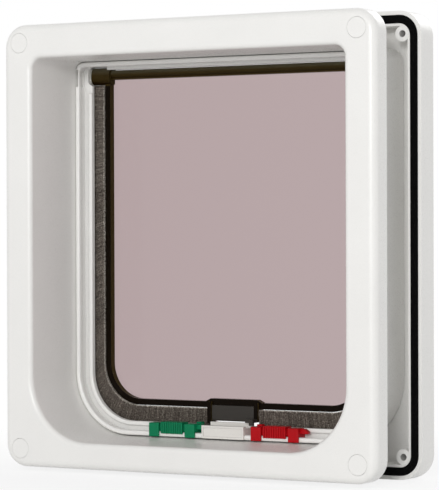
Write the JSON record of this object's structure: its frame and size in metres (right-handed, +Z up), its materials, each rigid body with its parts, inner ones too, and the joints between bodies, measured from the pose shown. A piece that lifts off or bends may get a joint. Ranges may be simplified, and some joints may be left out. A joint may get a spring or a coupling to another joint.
{
  "type": "cat flap",
  "caption": "Cat flap for a door: indoor flange with tunnel, outdoor frame, clear tinted swinging flap with brush seals, magnetic keeper and sliding catches.",
  "frame": {"origin": "middle of the foot: middle of width and depth, at the lower edge of the outdoor frame", "axes": "+Z up, -Y indoors (the face in the picture), +Y outdoors, +X to the right seen from indoors"},
  "size_m": [0.2388, 0.071, 0.255],
  "materials": {
    "white_moulding": "white moulded ABS, satin gloss",
    "tinted_clear": "clear polycarbonate with a smoke tint, dark where it is thick",
    "brush_pile": "grey-brown nylon bristles",
    "brush_strip": "grey extruded strip",
    "black_foam": "black closed-cell foam",
    "nylon_clip": "natural nylon",
    "steel_pin": "drawn steel",
    "dark_housing": "dark grey moulded plastic",
    "magnet": "sintered ferrite",
    "green_plastic": "dark green moulded acetal",
    "red_plastic": "red moulded acetal"
  },
  "bodies": {
    "exterior": {"exterior_frame": "white_moulding", "weather_seal": "black_foam", "brush_pile_left": "brush_pile", "brush_pile_right": "brush_pile", "brush_backing_left": "brush_strip", "brush_backing_right": "brush_strip", "pivot_clip_left": "nylon_clip", "pivot_clip_right": "nylon_clip", "keeper_block": "white_moulding", "keeper_magnet": "magnet"},
    "interior": {"interior_frame": "white_moulding", "screw_cap_top_left": "white_moulding", "screw_cap_top_right": "white_moulding", "screw_cap_bottom_left": "white_moulding", "screw_cap_bottom_right": "white_moulding"},
    "swing_flap": {"flap": "tinted_clear", "pivot_pin_left": "steel_pin", "pivot_pin_right": "steel_pin", "magnet_housing": "dark_housing", "flap_magnet": "magnet"},
    "green_slider": {"green_catch": "green_plastic"},
    "red_slider": {"red_catch": "red_plastic"}
  },
  "joints": [
    {"name": "flap_swing", "type": "hinge", "parent": "exterior", "child": "swing_flap", "pos_m": [0, 0.022, 0.2263], "axis": [1, 0, 0], "range_deg": [-80, 80]},
    {"name": "green_lock", "type": "slide", "parent": "exterior", "child": "green_slider", "axis": [1, 0, 0], "range_m": [0, 0.004]},
    {"name": "red_lock", "type": "slide", "parent": "exterior", "child": "red_slider", "axis": [-1, 0, 0], "range_m": [0, 0.004]},
    {"name": "tunnel_slide", "type": "slide", "parent": "exterior", "child": "interior", "axis": [0, -1, 0], "range_m": [0, 0.01]}
  ]
}
